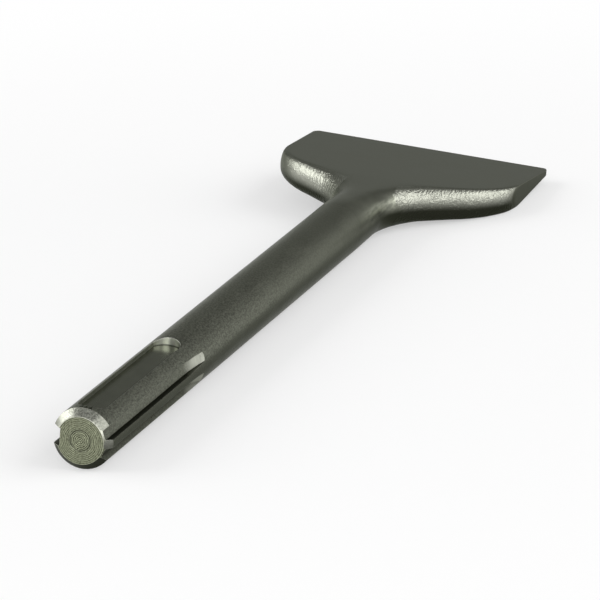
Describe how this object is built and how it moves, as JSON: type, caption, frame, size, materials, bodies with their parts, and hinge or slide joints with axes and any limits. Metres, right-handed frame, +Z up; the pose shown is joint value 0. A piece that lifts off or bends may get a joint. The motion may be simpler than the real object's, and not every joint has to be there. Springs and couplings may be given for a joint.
{
  "type": "wide chisel",
  "caption": "One-piece forged wide flat chisel: round grooved shank for a rotary hammer, hollow-curved neck and a flat ground wedge blade.",
  "frame": {"origin": "centre of the struck face of the shank, on the shank's axis", "axes": "+X along the shank's axis out of the struck face, so the blade points to -X; +Z up from the floor, as the chisel lies at rest on its shank and on the underside of one shoulder; +Y across, on the side of the narrow keyways and of the lowered shoulder. Against the blade's own middle plane the chisel is rolled 6.9 degrees about the shank's axis"},
  "size_m": [0.3256, 0.0836, 0.018],
  "materials": {
    "steel": "dark grey, satin: fine grinding on the blade, shot-blasted forging, turned struck face"
  },
  "bodies": {
    "root": {"wide_chisel": "steel"}
  },
  "joints": []
}
